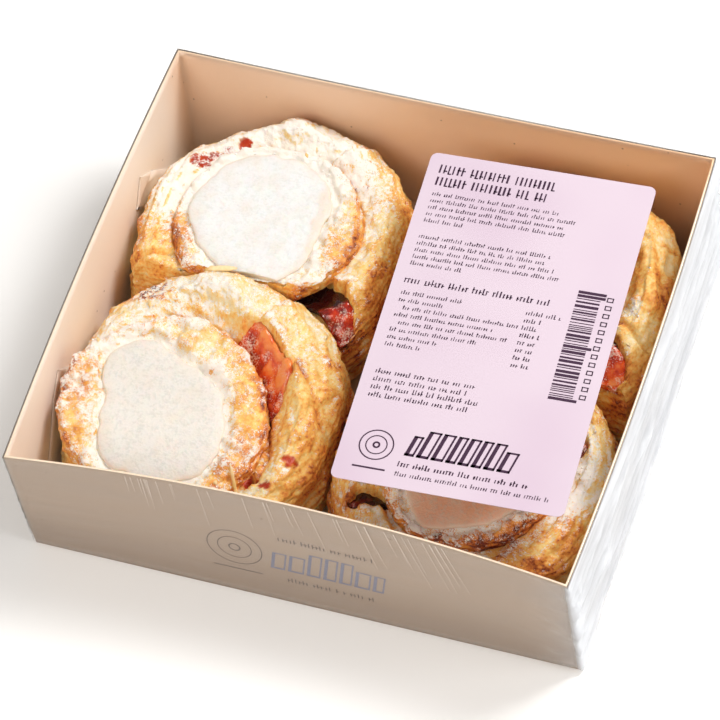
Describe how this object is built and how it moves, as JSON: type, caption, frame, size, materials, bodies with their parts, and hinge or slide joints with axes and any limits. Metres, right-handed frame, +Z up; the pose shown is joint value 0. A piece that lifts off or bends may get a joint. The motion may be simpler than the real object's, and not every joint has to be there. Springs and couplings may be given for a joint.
{
  "type": "pack of puff pastry bundles",
  "caption": "Folded board tray of round puff pastry bundles with apple jam, pastry lids and white icing, wrapped in clear film with a paper label.",
  "frame": {"origin": "under the middle of the tray, on the surface that it stands on", "axes": "+Z up, +X along the tray's longer side, +Y towards its back, and the label lies on the right half"},
  "size_m": [0.1828, 0.1606, 0.0556],
  "materials": {
    "board": "uncoated folding boxboard, matt with a faint sheen",
    "film": "clear taut wrapping film, glossy",
    "label": "smooth self adhesive paper",
    "crust": "golden flaky baked puff pastry dusted with sugar",
    "jam": "glossy wet jam",
    "lid": "lumpy baked pastry heavily dusted with sugar",
    "icing": "set white sugar icing, smooth with a soft sheen"
  },
  "bodies": {
    "root": {"tray": "board", "film": "film", "label": "label", "crust_front_left": "crust", "crust_back_left": "crust", "crust_back_right": "crust", "crust_front_right": "crust", "jam_front_left": "jam", "jam_back_left": "jam", "jam_back_right": "jam", "jam_front_right": "jam", "lid_front_left": "lid", "lid_back_left": "lid", "lid_back_right": "lid", "lid_front_right": "lid", "icing_front_left": "icing", "icing_back_left": "icing", "icing_back_right": "icing", "icing_front_right": "icing"}
  },
  "joints": []
}
